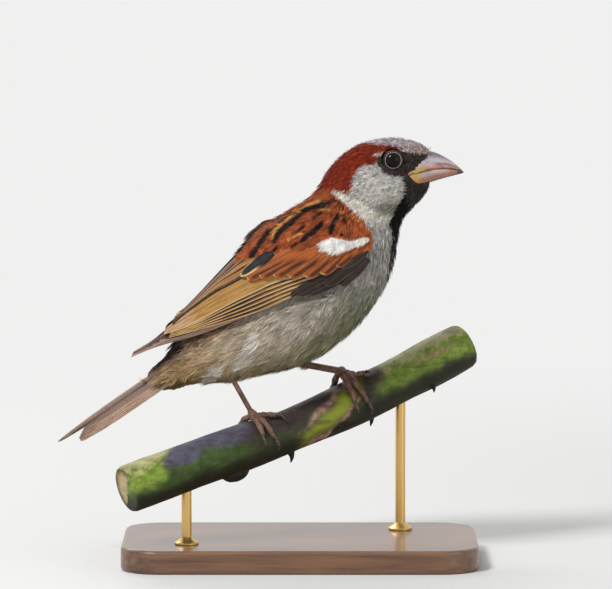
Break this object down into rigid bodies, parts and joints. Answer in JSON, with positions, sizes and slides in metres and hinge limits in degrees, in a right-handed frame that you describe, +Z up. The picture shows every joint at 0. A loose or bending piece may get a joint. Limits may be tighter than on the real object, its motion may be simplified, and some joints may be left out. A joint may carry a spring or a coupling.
{
  "type": "house sparrow",
  "caption": "Life-size still model of a male house sparrow gripping a cut rose stem, held over a flat base by rods.",
  "frame": {"origin": "centre of the stand base's underside", "axes": "+X the way the bird faces, +Y to the bird's left, +Z up"},
  "size_m": [0.1254, 0.064, 0.127],
  "materials": {
    "plumage_grey": "soft feathers, matt",
    "plumage_brown": "soft feathers, matt",
    "vanes": "flight feathers, faint sheen",
    "horn": "horn, low sheen",
    "eye": "polished, wet look",
    "skin_scaled": "scaled skin, low sheen",
    "claw": "dark horn",
    "bark": "living rose bark, satin, with corky patches",
    "base_wood": "dark stained, satin lacquer",
    "rod_brass": "brushed"
  },
  "bodies": {
    "root": {"head": "plumage_brown", "neck": "plumage_grey", "trunk": "plumage_grey", "bill_upper": "horn", "bill_lower": "horn", "perch": "bark", "stand_base": "base_wood", "stand_rod_low": "rod_brass", "stand_rod_high": "rod_brass", "eye_right": "eye", "wing_right_primaries": "vanes", "wing_right_secondaries": "vanes", "wing_right_coverts": "vanes", "tail_right": "vanes", "thigh_right": "plumage_grey", "shank_right": "skin_scaled", "foot_right": "skin_scaled", "claw_right_1": "claw", "claw_right_2": "claw", "claw_right_3": "claw", "claw_right_4": "claw", "eye_left": "eye", "wing_left_primaries": "vanes", "wing_left_secondaries": "vanes", "wing_left_coverts": "vanes", "tail_left": "vanes", "thigh_left": "plumage_grey", "shank_left": "skin_scaled", "foot_left": "skin_scaled", "claw_left_1": "claw", "claw_left_2": "claw", "claw_left_3": "claw", "claw_left_4": "claw"}
  },
  "joints": []
}
